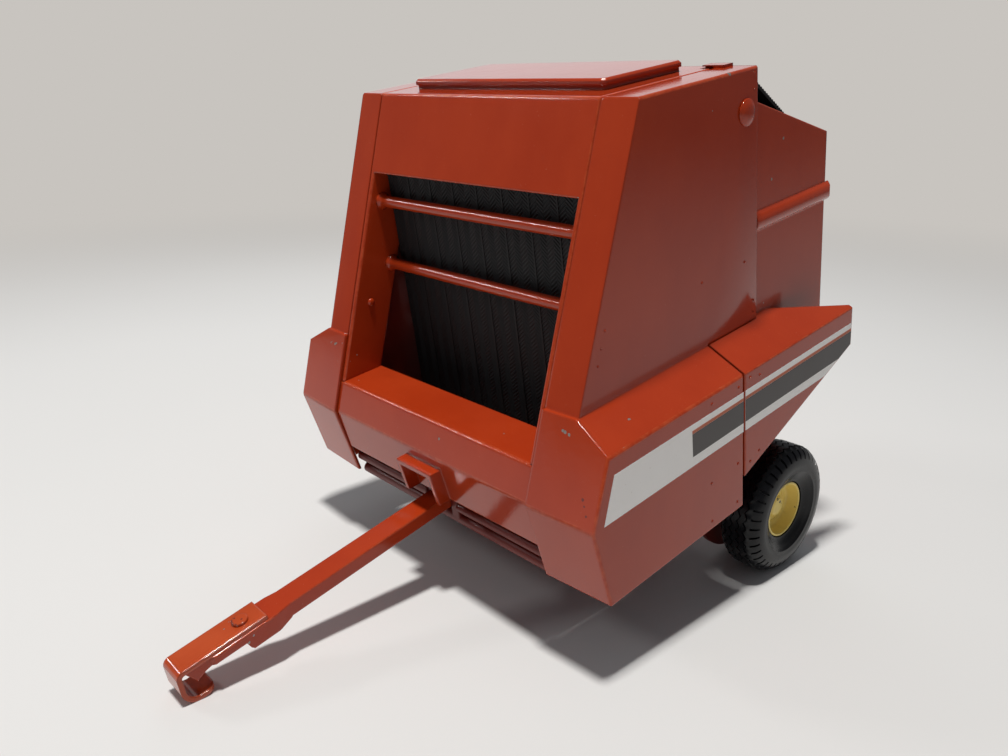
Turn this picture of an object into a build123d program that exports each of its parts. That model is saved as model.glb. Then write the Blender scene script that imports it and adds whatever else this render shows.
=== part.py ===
from build123d import *
import math
import os

os.makedirs("parts", exist_ok=True)

# Round baler toy, die-cast, about one sixteenth full size. Millimetres.
# Body frame: X to the right-hand side, Y to the rear, Z up, origin on the axle,
# body level. At the end everything tips forward onto the hook and is centred.

# Widths, from the middle outwards
OPENING_HALF = 52.9   # feed opening, half width
REVEAL = 1.9          # side walls of the opening
JOINT = 0.3           # closed joint between two castings
POST_WIDE = 13.5      # front posts of the side castings
SHELF_WIDE = 13.9     # shields outside the side panels
WALL = 1.7            # wall of the die-castings
RUN = 0.3             # clearance beside the moving tailgate
CENTRE_HALF = OPENING_HALF + REVEAL
INNER_X = CENTRE_HALF + JOINT
BODY_HALF = INNER_X + POST_WIDE
SHIELD_HALF = BODY_HALF + SHELF_WIDE
GATE_HALF = BODY_HALF - WALL - RUN

# Side profile of the body: heights above the axle, lengths behind it
ROOF_Z = 160.7
ROOF_REAR_Y = 0.9
BEND_Y = -104.2       # the front's foremost edge
BEND_Z = 46.1
LEAN = 0.404          # front above the bend falls back by this much per mm
UNDERCUT = 0.159      # front below the bend falls back by this much per mm
SWEEP = 0.052         # front faces fall back by this much per mm outwards
HEADER_HIGH = 27.3
SILL_HIGH = 11.7
SILL_DEPTH = 18.2
PANEL_HIGH = 17.5
HEADER_Z = ROOF_Z - HEADER_HIGH
SILL_Z = BEND_Z + SILL_HIGH
PANEL_FOOT_Z = BEND_Z - PANEL_HIGH
SKIN = WALL / math.cos(math.atan(LEAN))
ROOF_FRONT_Y = BEND_Y + (ROOF_Z - BEND_Z) * LEAN

# Shields beside the wheels
SHELF_IN_Z = 75.0
SHELF_FALL = 7.3      # the shelf falls by this much to its outer edge
SHIELD_FOOT_Z = 16.8
SHIELD_PROUD = 1.2
SEAM_Y = -27.7        # the shield is split here between body and tailgate
SEAM = 0.9
SHELF_RUN = 0.5       # clearance over the tailgate's part of the shelf
SHELF_OUT_Z = SHELF_IN_Z - SHELF_FALL
SEAM_FRONT_Y = SEAM_Y - SEAM / 2
SEAM_REAR_Y = SEAM_Y + SEAM / 2

# Wheels and axle
TYRE_R = 25.0
TYRE_WIDE = 20.1
RIM_R = 10.9
RIM_RUN = 0.3
AXLE_R = 2.0
BORE_RUN = 0.08


def plate(points, x0, x1):
    """Flat casting wall: side profile points (y, z) made solid from x0 to x1."""
    face = make_face(Polyline(*points, close=True))
    return extrude(Plane.YZ.offset(x0) * face, amount=x1 - x0)


def wedge(points0, x0, points1, x1):
    """Casting wall whose side profile changes from points0 at x0 to points1 at x1."""
    face0 = Plane.YZ.offset(x0) * make_face(Polyline(*points0, close=True))
    face1 = Plane.YZ.offset(x1) * make_face(Polyline(*points1, close=True))
    return loft([face0, face1], ruled=True)


def rod(radius, x0, x1, y, z):
    """Round bar across the machine."""
    circle = Plane.YZ.offset(x0) * Pos(y, z) * Circle(radius)
    return extrude(circle, amount=x1 - x0)


def turned(outline, y=0.0, z=0.0):
    """Turned piece across the machine: outline points (x, radius), about (y, z)."""
    face = make_face(Polyline(*outline, close=True))
    return Pos(0, y, z) * revolve(face, axis=Axis.X, revolution_arc=360)


def front_y(z, x=CENTRE_HALF, proud=0.0):
    """Front face of the body at height z and distance x from the middle."""
    back = SWEEP * max(0.0, x - CENTRE_HALF) - proud
    if z >= BEND_Z:
        return BEND_Y + (z - BEND_Z) * LEAN + back
    return BEND_Y + (BEND_Z - z) * UNDERCUT + back


def shelf_z(x):
    """Top of the shield shelves at distance x from the middle."""
    return SHELF_IN_Z - (x - BODY_HALF) * SHELF_FALL / SHELF_WIDE


def mirrored(solid):
    return mirror(solid, about=Plane.YZ)


# Side castings: front post, side panel, roof strip and front shield in one shell
POST_TUCK = 3.0       # the post runs down behind the shield's top by this much


def post_profile(x):
    foot_z = SHELF_IN_Z - POST_TUCK
    return [
        (front_y(ROOF_Z, x), ROOF_Z),
        (front_y(foot_z, x), foot_z),
        (front_y(foot_z, x) + SKIN, foot_z),
        (front_y(ROOF_Z, x) + SKIN, ROOF_Z),
    ]


def shield_profile(x, top_z):
    return [
        (front_y(top_z, x, SHIELD_PROUD), top_z),
        (SEAM_FRONT_Y, top_z),
        (SEAM_FRONT_Y, SHIELD_FOOT_Z),
        (front_y(SHIELD_FOOT_Z, x, SHIELD_PROUD / 2), SHIELD_FOOT_Z),
        (front_y(BEND_Z, x, SHIELD_PROUD), BEND_Z),
    ]


def shield_core(x, top_z):
    """Inside of a shield: open below and behind."""
    low_z = SHIELD_FOOT_Z - WALL
    return [
        (front_y(top_z, x, SHIELD_PROUD) + SKIN, top_z - WALL),
        (SEAM_FRONT_Y + WALL, top_z - WALL),
        (SEAM_FRONT_Y + WALL, low_z),
        (front_y(low_z, x, SHIELD_PROUD / 2) + WALL, low_z),
        (front_y(BEND_Z, x, SHIELD_PROUD) + WALL, BEND_Z),
    ]


post = wedge(post_profile(INNER_X), INNER_X, post_profile(BODY_HALF), BODY_HALF)
PANEL_IN = BODY_HALF - WALL
panel_low_z = SHELF_IN_Z - WALL
panel = plate(
    [
        (front_y(ROOF_Z, BODY_HALF), ROOF_Z),
        (ROOF_REAR_Y, ROOF_Z),
        (ROOF_REAR_Y, panel_low_z),
        (front_y(panel_low_z, BODY_HALF), panel_low_z),
    ],
    PANEL_IN,
    BODY_HALF,
)
roof_strip = plate(
    [
        (front_y(ROOF_Z, BODY_HALF), ROOF_Z),
        (ROOF_REAR_Y, ROOF_Z),
        (ROOF_REAR_Y, ROOF_Z - WALL),
        (front_y(ROOF_Z - WALL, BODY_HALF), ROOF_Z - WALL),
    ],
    INNER_X,
    BODY_HALF,
)
shield_in = wedge(
    shield_profile(INNER_X, SHELF_IN_Z), INNER_X, shield_profile(BODY_HALF, SHELF_IN_Z), BODY_HALF
)
shield_out = wedge(
    shield_profile(BODY_HALF, SHELF_IN_Z), BODY_HALF, shield_profile(SHIELD_HALF, SHELF_OUT_Z), SHIELD_HALF
)
# The inner half of the shield opens upward into the post and side panel
above_z = SHELF_IN_Z + 2 * WALL + POST_TUCK
core_in = wedge(shield_core(INNER_X - WALL, above_z), INNER_X - WALL, shield_core(PANEL_IN, above_z), PANEL_IN)
core_end = SHIELD_HALF - WALL
core_out = wedge(
    shield_core(PANEL_IN, shelf_z(PANEL_IN)), PANEL_IN, shield_core(core_end, shelf_z(core_end)), core_end
)
shield = (shield_in - core_in) + (shield_out - core_out)


def shelf_room(x):
    top_z = shelf_z(x) + SHELF_RUN
    rear_y = ROOF_REAR_Y + WALL
    return [(SEAM_FRONT_Y, 0), (SEAM_FRONT_Y, top_z), (rear_y, top_z), (rear_y, 0)]


shelf_gap = wedge(shelf_room(GATE_HALF), GATE_HALF, shelf_room(SHIELD_HALF), SHIELD_HALF)

# The tailgate turns on rivets near the upper rear corners
PIVOT_AHEAD = 6.5     # ahead of the roof's rear edge
PIVOT_DROP = 13.3
PIVOT_Y = ROOF_REAR_Y - PIVOT_AHEAD
PIVOT_Z = ROOF_Z - PIVOT_DROP
rivet_hole = rod(AXLE_R + BORE_RUN, PANEL_IN - WALL, BODY_HALF + WALL, PIVOT_Y, PIVOT_Z)
side = post + (panel - shelf_gap) + roof_strip + shield - rivet_hole

# Centre casting: header, roof with its raised cover, side walls of the opening
HEADER_LIP = 4.5
LID_HALF = 47.5
LID_FRONT_GAP = 9.9
LID_REAR_GAP = 9.9
LID_RISE = 1.5
LID_THICK = 2.0
LID_OVERHANG = 1.2
LID_CORNER = 1.5
LID_EDGE = 0.8
TAB_IN = 3.8          # low pads at the roof's rear corners, this far inside the joint
TAB_OUT = 4.5         # and this far over the side castings
TAB_LONG = 5.0
TAB_HIGH = 0.9
TAB_SLOT_LONG = 1.2   # a slot runs in under each pad
TAB_SLOT_DEEP = 1.6
TAB_SKIN = 0.4
lip_y = front_y(HEADER_Z) + HEADER_LIP
header = plate(
    [
        (front_y(ROOF_Z), ROOF_Z),
        (front_y(HEADER_Z), HEADER_Z),
        (lip_y, HEADER_Z),
        (lip_y, HEADER_Z + WALL),
        (front_y(HEADER_Z + WALL) + SKIN, HEADER_Z + WALL),
        (front_y(ROOF_Z - WALL) + SKIN, ROOF_Z - WALL),
        (ROOF_REAR_Y, ROOF_Z - WALL),
        (ROOF_REAR_Y, ROOF_Z),
    ],
    -CENTRE_HALF,
    CENTRE_HALF,
)
reveal = plate(
    [
        (front_y(HEADER_Z + WALL), HEADER_Z + WALL),
        (front_y(SILL_Z), SILL_Z),
        (front_y(SILL_Z) + SILL_DEPTH, SILL_Z),
        (front_y(HEADER_Z) + SILL_DEPTH, HEADER_Z),
        (front_y(HEADER_Z) + SILL_DEPTH, HEADER_Z + WALL),
    ],
    OPENING_HALF,
    CENTRE_HALF,
)
lid_front_y = ROOF_FRONT_Y + LID_FRONT_GAP
lid_rear_y = ROOF_REAR_Y - LID_REAR_GAP
lid_y = (lid_front_y + lid_rear_y) / 2
lid_long = lid_rear_y - lid_front_y
step_wide = 2 * (LID_HALF - LID_OVERHANG)
step = Pos(0, lid_y, ROOF_Z + LID_RISE / 2) * Box(step_wide, lid_long - 2 * LID_OVERHANG, LID_RISE)
lid = Pos(0, lid_y, ROOF_Z + LID_RISE + LID_THICK / 2) * Box(2 * LID_HALF, lid_long, LID_THICK)
lid = chamfer(lid.edges().filter_by(Axis.Z), LID_CORNER)
lid = chamfer(lid.edges().group_by(Axis.Z)[-1], LID_EDGE)
tab_front_y = ROOF_REAR_Y - TAB_LONG
tab = plate(
    [
        (tab_front_y, ROOF_Z),
        (ROOF_REAR_Y, ROOF_Z),
        (ROOF_REAR_Y, ROOF_Z + TAB_HIGH),
        (tab_front_y, ROOF_Z + TAB_HIGH),
    ],
    CENTRE_HALF - TAB_IN,
    CENTRE_HALF + TAB_OUT,
)
tab_slot = plate(
    [
        (tab_front_y - TAB_SLOT_LONG, ROOF_Z - 2 * WALL),
        (tab_front_y + TAB_SLOT_DEEP, ROOF_Z - 2 * WALL),
        (tab_front_y + TAB_SLOT_DEEP, ROOF_Z + TAB_HIGH - TAB_SKIN),
        (tab_front_y - TAB_SLOT_LONG, ROOF_Z + TAB_HIGH - TAB_SKIN),
    ],
    CENTRE_HALF - TAB_IN,
    CENTRE_HALF + JOINT,
)
hood = header + step + lid + reveal + mirrored(reveal) + tab + mirrored(tab) - tab_slot - mirrored(tab_slot)

# Front sill: shelf under the opening, lower front panel and drawbar bracket
BRACKET_HALF = 10.0
BRACKET_PROUD = 5.0
BRACKET_HIGH = 13.4
BRACKET_WALL = 2.0
sill_shell = plate(
    [
        (front_y(SILL_Z), SILL_Z),
        (front_y(BEND_Z), BEND_Z),
        (front_y(PANEL_FOOT_Z), PANEL_FOOT_Z),
        (front_y(PANEL_FOOT_Z) + WALL, PANEL_FOOT_Z),
        (front_y(BEND_Z) + SKIN, BEND_Z),
        (front_y(SILL_Z - WALL) + SKIN, SILL_Z - WALL),
        (front_y(SILL_Z) + SILL_DEPTH, SILL_Z - WALL),
        (front_y(SILL_Z) + SILL_DEPTH, SILL_Z),
    ],
    -CENTRE_HALF,
    CENTRE_HALF,
)
bracket_top_z = PANEL_FOOT_Z + BRACKET_HIGH
bracket = plate(
    [
        (front_y(bracket_top_z), bracket_top_z),
        (front_y(bracket_top_z, proud=BRACKET_PROUD), bracket_top_z),
        (front_y(PANEL_FOOT_Z, proud=BRACKET_PROUD), PANEL_FOOT_Z),
        (front_y(PANEL_FOOT_Z), PANEL_FOOT_Z),
    ],
    -BRACKET_HALF,
    BRACKET_HALF,
)
arch_half = BRACKET_HALF - BRACKET_WALL
arch_top_z = bracket_top_z - BRACKET_WALL
arch = plate(
    [
        (front_y(arch_top_z), arch_top_z),
        (front_y(arch_top_z, proud=2 * BRACKET_PROUD), arch_top_z),
        (front_y(PANEL_FOOT_Z - WALL, proud=2 * BRACKET_PROUD), PANEL_FOOT_Z - WALL),
        (front_y(PANEL_FOOT_Z - WALL), PANEL_FOOT_Z - WALL),
    ],
    -arch_half,
    arch_half,
)
sill = (sill_shell + bracket) - arch

# Belt: one rubber sheet in the toy, split where the tailgate opens
BELT_RUN = 0.9        # between belt and the side walls of the opening
BELT_THICK = 1.2
BELT_STRIPS = 8
STRIP_RIDGE = 0.3     # fine raised line between two strips
BELT_BEND = 10.0
BELT_SLOPE = 0.767
BELT_FOOT_LONG = 26.0
BELT_ROOF_RUN = 2.1   # between belt and roof
CREST_BACK = 8.6      # the belt bends down this far behind the roof
TAIL_LONG = 24.5      # and runs this far before it is split
SPLIT = 2.6
CREST_Y = ROOF_REAR_Y + CREST_BACK
TAIL_Y = CREST_Y + TAIL_LONG
BELT_HALF = OPENING_HALF - BELT_RUN
BELT_FRONT_Y = lip_y + BELT_RUN
BELT_TOP_Z = ROOF_Z - WALL - BELT_ROOF_RUN
belt_lean_z = HEADER_Z + HEADER_LIP
belt_head_y = BELT_FRONT_Y + (BELT_TOP_Z - belt_lean_z) * LEAN

# Guide bars across the opening: (height below the header, distance before the belt)
GUIDE_R = 2.2
FLARE_R = 3.4
FLARE_LONG = 3.0
GUIDES = {"guide_bar_upper": (11.1, 1.2), "guide_bar_lower": (36.0, 1.7)}


def guide_bar(drop, ahead):
    """Bar with a flare where it meets each side wall."""
    neck_x = OPENING_HALF - FLARE_LONG
    outline = [
        (-OPENING_HALF, 0),
        (-OPENING_HALF, FLARE_R),
        (-neck_x, GUIDE_R),
        (neck_x, GUIDE_R),
        (OPENING_HALF, FLARE_R),
        (OPENING_HALF, 0),
    ]
    return turned(outline, BELT_FRONT_Y - GUIDE_R - ahead, HEADER_Z - drop)


# Tailgate sizes
GATE_REAR_Y = 48.5
GATE_TOP_SLOPE = 0.396
GATE_CORNER_DROP = 16.1   # upper rear corner below the pivot
GATE_SHOULDER_RISE = 5.0  # the front edge leans back from here above the shelf
EAR_LOW_AHEAD = 8.9       # the ear around the pivot
EAR_LOW_DROP = 6.4
EAR_TOP_AHEAD = 7.9
EAR_TOP_RISE = 2.6
EAR_CREST_AHEAD = 2.9
WING_END_GAP = 5.1        # the wing stops this far before the tailgate's rear
WING_END_HIGH = 15.3
WING_FRONT_RISE = 11.6    # the wing's front foot above the shield's foot
WING_CUT_Y = 8.5
GATE_FOOT_Y = 16.0
GATE_FOOT_Z = 24.0
GATE_BEND_Z = 62.0        # below this the rear panel curves forward to its foot
BELT_TAIL_BACK = 1.5      # the rear belt ends this far behind and above the foot
BELT_TAIL_RISE = 5.0
CREST_RUN = 4.9           # between the tailgate's walls and the belt behind the liners
PANEL_TOP_Z = 108.0       # upper edge of the rear panel, the belt shows above it
PANEL_CURVE = 24.0
PANEL_RUN = 2.8           # between rear panel and belt
GATE_TUBE_R = 1.9
TUBE_SHY = 0.2            # the tube lies this far inside the walls' rear edge
RAIL_Z = 109.4
RAIL_HIGH = 7.0
RAIL_PROUD = WALL + RUN   # level with the side panel
RAIL_SHY = 0.3            # the rail starts this far behind the side panel's clearance
RAIL_PAST = 1.7           # and ends this far behind the wall
RAIL_ROUND = 1.6          # its rear end is rounded off over this length
GATE_TOP_REAR_Z = PIVOT_Z - GATE_CORNER_DROP
GATE_IN = GATE_HALF - WALL
WIDE_HALF = GATE_IN - CREST_RUN
belt_rear_y = GATE_REAR_Y - WALL - PANEL_RUN


def band(points, radius, x0, x1, thick):
    """Sheet that follows a rounded path (y, z), thick towards the path's right."""
    path = FilletPolyline(*points, radius=radius)
    outline = offset(path, amount=thick, side=Side.RIGHT, closed=True)
    return extrude(Plane.YZ.offset(x0) * make_face(outline), amount=x1 - x0)


def crest_z(y):
    """Outer face of the belt behind the crest."""
    return BELT_TOP_Z - (y - CREST_Y) * BELT_SLOPE


BELLY_Z = 17.0
belly_top_z = BELLY_Z + WALL
belt_low_z = belly_top_z + RUN
front_path = [
    (BELT_FRONT_Y + BELT_FOOT_LONG, belt_low_z),
    (BELT_FRONT_Y, belt_low_z),
    (BELT_FRONT_Y, belt_lean_z),
    (belt_head_y, BELT_TOP_Z),
    (CREST_Y, BELT_TOP_Z),
    (TAIL_Y, crest_z(TAIL_Y)),
]
belt_front = band(front_path, BELT_BEND, -BELT_HALF, BELT_HALF, BELT_THICK)
strip_wide = 2 * BELT_HALF / BELT_STRIPS
ridge_top_z = belt_lean_z - BELT_BEND / 2
for i in range(1, BELT_STRIPS):
    ridge_x = -BELT_HALF + i * strip_wide
    ridge = plate(
        [
            (BELT_FRONT_Y - STRIP_RIDGE, SILL_Z),
            (BELT_FRONT_Y - STRIP_RIDGE, ridge_top_z),
            (BELT_FRONT_Y + STRIP_RIDGE, ridge_top_z),
            (BELT_FRONT_Y + STRIP_RIDGE, SILL_Z),
        ],
        ridge_x - STRIP_RIDGE,
        ridge_x + STRIP_RIDGE,
    )
    belt_front = belt_front + ridge
head_y = TAIL_Y + SPLIT
rear_path = [
    (head_y, crest_z(head_y)),
    (belt_rear_y, crest_z(belt_rear_y)),
    (belt_rear_y, GATE_BEND_Z),
    (GATE_FOOT_Y + BELT_TAIL_BACK, GATE_FOOT_Z + BELT_TAIL_RISE),
]
belt_rear = band(rear_path, BELT_BEND / 2, -WIDE_HALF, WIDE_HALF, BELT_THICK)

# Behind the chamber liners the belt is wider
BELLY_REAR_GAP = 6.0
LINER_SLANT = 14.0
LINER_RUN = 0.9
belly_rear_y = GATE_FOOT_Y - BELLY_REAR_GAP
liner_tail_y = belly_rear_y - LINER_SLANT
crest_path = [(liner_tail_y + LINER_RUN, BELT_TOP_Z), (CREST_Y, BELT_TOP_Z), (TAIL_Y, crest_z(TAIL_Y))]
belt_front = belt_front + band(crest_path, BELT_BEND, -WIDE_HALF, WIDE_HALF, BELT_THICK)

# Rollers under the belt, held between the liners at its front bend and below the roof's rear
LINER_WALL = 1.5
CREST_ROLLER_R = 4.0
LINER_X = INNER_X + LINER_RUN
roller_y = belt_head_y + BELT_BEND * math.tan(math.pi / 4 - math.atan(LEAN) / 2)
roller_r = BELT_BEND - BELT_THICK - RUN
roller_front = rod(roller_r, -LINER_X, LINER_X, roller_y, BELT_TOP_Z - BELT_BEND)
crest_roller_z = BELT_TOP_Z - BELT_THICK - RUN - CREST_ROLLER_R
crest_roller_y = liner_tail_y - CREST_ROLLER_R - LINER_RUN
roller_crest = rod(CREST_ROLLER_R, -LINER_X, LINER_X, crest_roller_y, crest_roller_z)

# Drawbar casting and its steel hook strip
BAR_HALF = 4.5
BAR_THICK = 5.3
BAR_SLOPE = 0.09
BAR_DROP = 2.9        # top of the bar below the front panel's foot
BAR_LONG = 61.8       # from the bend of the front to the thick head
BAR_ROOT = 34.2       # behind the bend
HEAD_HALF = 5.7
HEAD_TAPER = 6.0
HEAD_LONG = 11.0
HEAD_DEEP = 6.2
HEAD_BEVEL = 1.0
JAW_LONG = 20.0
JAW_THICK = 2.9
NOSE_HALF = 4.6
NOSE_LONG = 9.4
NOSE_DEEP = 4.8
STRIP_HALF = 5.2
STRIP_THICK = 1.6
STRIP_BACK = 2.4      # rear end of the strip ahead of the widest place of the head
THROAT = 1.2          # between nose and hook strip
HOOK_TOP_R = 2.6
HOOK_LOW_R = 5.2
HOOK_LOW_Z = 5.68
LIP_LONG = 10.6
LIP_TILT = 0.0772     # the lip rises by this much per mm
LIP_TIP_R = 3.5
LIP_RISE = LIP_LONG * LIP_TILT
bar_root_y = BEND_Y + BAR_ROOT
head_rear_y = BEND_Y - BAR_LONG
head_wide_y = head_rear_y - HEAD_TAPER
jaw_y = head_wide_y - HEAD_LONG
nose_y = jaw_y - JAW_LONG
nose_root_y = nose_y + NOSE_LONG


def bar_z(y):
    """Top of the drawbar at length y."""
    return PANEL_FOOT_Z - BAR_DROP + (y - BEND_Y + BRACKET_PROUD) * BAR_SLOPE


bar_side = plate(
    [
        (bar_root_y, bar_z(bar_root_y)),
        (nose_y, bar_z(nose_y)),
        (nose_y + NOSE_LONG / 3, bar_z(nose_y) - NOSE_DEEP),
        (nose_root_y - NOSE_LONG / 3, bar_z(nose_root_y) - NOSE_DEEP + HEAD_BEVEL),
        (nose_root_y, bar_z(nose_root_y) - JAW_THICK),
        (jaw_y, bar_z(jaw_y) - JAW_THICK),
        (jaw_y + HEAD_BEVEL, bar_z(jaw_y) - HEAD_DEEP + HEAD_BEVEL),
        (jaw_y + 2 * HEAD_BEVEL, bar_z(jaw_y) - HEAD_DEEP),
        (head_wide_y + HEAD_BEVEL, bar_z(head_wide_y) - HEAD_DEEP),
        (head_rear_y, bar_z(head_rear_y) - BAR_THICK),
        (bar_root_y, bar_z(bar_root_y) - BAR_THICK),
    ],
    -HEAD_HALF,
    HEAD_HALF,
)
bar_edge = [
    (BAR_HALF, bar_root_y),
    (BAR_HALF, head_rear_y),
    (HEAD_HALF, head_wide_y),
    (HEAD_HALF, nose_root_y),
    (NOSE_HALF, nose_root_y - HEAD_BEVEL),
    (NOSE_HALF, nose_y),
]
bar_plan = make_face(Polyline(*bar_edge, *[(-x, y) for x, y in reversed(bar_edge)], close=True))
drawbar = bar_side & extrude(bar_plan, amount=bar_z(0))

strip_rise = STRIP_THICK / math.cos(math.atan(BAR_SLOPE))
strip_rear_y = head_wide_y - STRIP_BACK
hook_front_y = nose_y - THROAT - STRIP_THICK
lip_tip_y = hook_front_y + LIP_LONG
strip_path = FilletPolyline(
    (strip_rear_y, bar_z(strip_rear_y) + strip_rise),
    (hook_front_y, bar_z(hook_front_y) + strip_rise),
    (hook_front_y, HOOK_LOW_Z),
    (lip_tip_y, HOOK_LOW_Z + LIP_RISE),
    radius=[HOOK_TOP_R, HOOK_LOW_R],
)
strip_face = make_face(offset(strip_path, amount=STRIP_THICK, side=Side.LEFT, closed=True))
hook = extrude(Plane.YZ.offset(-STRIP_HALF) * strip_face, amount=2 * STRIP_HALF)
# The lip's tip is rounded in plan
tip_z = HOOK_LOW_Z + LIP_RISE
tip_block = Pos(STRIP_HALF, lip_tip_y, tip_z) * Box(2 * LIP_TIP_R, 2 * LIP_TIP_R, 4 * STRIP_THICK)
tip_round = Pos(STRIP_HALF - LIP_TIP_R, lip_tip_y - LIP_TIP_R, tip_z) * Cylinder(LIP_TIP_R, 4 * STRIP_THICK)
tip_cut = tip_block - tip_round
hook = hook - tip_cut - mirrored(tip_cut)

HOOK_RIVET_R = 2.7
HOOK_RIVET_HIGH = 0.9
rivet_y = jaw_y + 0.6 * HOOK_RIVET_R
hook_rivet = Pos(0, rivet_y, bar_z(rivet_y) + strip_rise) * Rot(math.degrees(math.atan(BAR_SLOPE)), 0, 0) * (
    Cylinder(HOOK_RIVET_R, HOOK_RIVET_HIGH, align=(Align.CENTER, Align.CENTER, Align.MIN))
)

# Belly: floor of the chamber, front lip, cheeks for the drawbar, axle legs
CHEEK_RUN = 0.3
CHEEK_WALL = 3.8
CHEEK_FRONT = 6.2     # behind the bend of the front
CHEEK_REAR_GAP = 2.0
BELLY_FRONT = 8.2
LIP_R = 2.2
LIP_BEVEL = 1.4
LEG_RUN = 0.3
LEG_WALL = 2.2
LEG_R = 22.6
LEG_FOOT_FRONT = 2.0  # the web's foot inside the disc
LEG_FOOT_REAR = 4.0
LEG_FRONT_Y = -30.0
LEG_REAR_Y = 14.0
LEG_LOW_Z = -8.0
belly_front_y = BEND_Y + BELLY_FRONT
cheek_in = BAR_HALF + CHEEK_RUN
cheek_out = cheek_in + CHEEK_WALL
leg_x = LINER_X + LINER_WALL + LEG_RUN
leg_out = leg_x + LEG_WALL
belly = plate(
    [
        (belly_front_y, BELLY_Z),
        (belly_front_y, belly_top_z),
        (belly_rear_y, belly_top_z),
        (belly_rear_y, BELLY_Z),
    ],
    -INNER_X,
    INNER_X,
)
lip_outline = [
    (-INNER_X, 0),
    (-INNER_X, LIP_R - LIP_BEVEL),
    (-INNER_X + LIP_BEVEL, LIP_R),
    (INNER_X - LIP_BEVEL, LIP_R),
    (INNER_X, LIP_R - LIP_BEVEL),
    (INNER_X, 0),
]
belly = belly + turned(lip_outline, belly_front_y, BELLY_Z)
cheek_front_y = BEND_Y + CHEEK_FRONT
cheek_rear_y = bar_root_y - CHEEK_REAR_GAP
cheek = plate(
    [
        (cheek_front_y, BELLY_Z),
        (cheek_front_y, bar_z(cheek_front_y)),
        (cheek_rear_y, bar_z(cheek_rear_y)),
        (cheek_rear_y, BELLY_Z),
    ],
    cheek_in,
    cheek_out,
)
leg_disc = rod(LEG_R, leg_x, leg_out, 0, 0)
leg_web = plate(
    [
        (LEG_FRONT_Y, belly_top_z),
        (-LEG_R + LEG_FOOT_FRONT, LEG_LOW_Z),
        (LEG_R - LEG_FOOT_REAR, LEG_LOW_Z),
        (LEG_REAR_Y, belly_top_z),
    ],
    leg_x,
    leg_out,
)
leg_cap = Pos(leg_x, 0, belly_top_z + LEG_R) * Box(4 * LEG_WALL, 4 * LEG_R, 2 * LEG_R)
floor_tie = plate(
    [
        (LEG_FRONT_Y, BELLY_Z),
        (LEG_REAR_Y, BELLY_Z),
        (LEG_REAR_Y, belly_top_z),
        (LEG_FRONT_Y, belly_top_z),
    ],
    INNER_X - WALL,
    leg_out,
)
leg = (leg_disc + leg_web) - leg_cap + floor_tie - rod(AXLE_R + BORE_RUN, 0, leg_out + WALL, 0, 0)
belly = belly + cheek + mirrored(cheek) + leg + mirrored(leg)

# Pickup rods under the front panel
PICKUP_R = 2.0
PICKUP_Z = 23.0
PICKUP_AHEAD = 1.2
pickup_rod = rod(PICKUP_R, cheek_out, INNER_X, belly_front_y - PICKUP_AHEAD, PICKUP_Z)

# Chamber liners with a flange under the roof
LINER_FRONT = 6.0
FLANGE_RUN = 1.0
liner_top_z = ROOF_Z - WALL
liner_head_y = front_y(liner_top_z) + LINER_FRONT
liner_web = plate(
    [
        (liner_head_y, liner_top_z),
        (front_y(BEND_Z) + LINER_FRONT, BEND_Z),
        (front_y(belly_top_z) + LINER_FRONT, belly_top_z),
        (belly_rear_y, belly_top_z),
        (liner_tail_y, liner_top_z),
    ],
    LINER_X,
    LINER_X + LINER_WALL,
)
liner_flange = plate(
    [
        (liner_head_y, liner_top_z),
        (liner_head_y, liner_top_z - LINER_WALL),
        (liner_tail_y, liner_top_z - LINER_WALL),
        (liner_tail_y, liner_top_z),
    ],
    OPENING_HALF,
    GATE_IN - FLANGE_RUN,
)
liner = liner_web + liner_flange

# Pivot rivets: low dome in a raised ring, on a shaft through side panel and tailgate
HEAD_R = 4.35
HEAD_HIGH = 1.5
RING_WIDE = 1.0
SHAFT_TAIL = 1.2
shaft_in = GATE_IN - SHAFT_TAIL
pivot_rivet = turned(
    [
        (shaft_in, 0),
        (shaft_in, AXLE_R),
        (BODY_HALF, AXLE_R),
        (BODY_HALF, HEAD_R),
        (BODY_HALF + HEAD_HIGH, HEAD_R - RING_WIDE / 2),
        (BODY_HALF + 0.75 * HEAD_HIGH, HEAD_R - 1.3 * RING_WIDE),
        (BODY_HALF + 0.95 * HEAD_HIGH, 0),
    ],
    PIVOT_Y,
    PIVOT_Z,
)

# Tailgate walls with shield wing and rail
wing_rear_y = GATE_REAR_Y - WING_END_GAP
wing_rear_z = SHELF_OUT_Z - WING_END_HIGH
wing_front_z = SHIELD_FOOT_Z + WING_FRONT_RISE
gate_head_y = PIVOT_Y - EAR_CREST_AHEAD
wall = plate(
    [
        (SEAM_REAR_Y, wing_front_z),
        (SEAM_REAR_Y, SHELF_IN_Z + GATE_SHOULDER_RISE),
        (PIVOT_Y - EAR_LOW_AHEAD, PIVOT_Z - EAR_LOW_DROP),
        (PIVOT_Y - EAR_TOP_AHEAD, PIVOT_Z + EAR_TOP_RISE),
        (gate_head_y, GATE_TOP_REAR_Z + (GATE_REAR_Y - gate_head_y) * GATE_TOP_SLOPE),
        (GATE_REAR_Y, GATE_TOP_REAR_Z),
        (GATE_REAR_Y, wing_rear_z + WALL),
        (wing_rear_y, wing_rear_z),
    ],
    GATE_IN,
    GATE_HALF,
)
wing_side = plate(
    [
        (SEAM_REAR_Y, wing_front_z),
        (SEAM_REAR_Y, SHELF_OUT_Z),
        (wing_rear_y, SHELF_OUT_Z),
        (wing_rear_y, wing_rear_z),
    ],
    SHIELD_HALF - WALL,
    SHIELD_HALF,
)


def shelf_profile(x):
    return [
        (SEAM_REAR_Y, shelf_z(x) - WALL),
        (SEAM_REAR_Y, shelf_z(x)),
        (wing_rear_y, shelf_z(x)),
        (wing_rear_y, shelf_z(x) - WALL),
    ]


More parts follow.
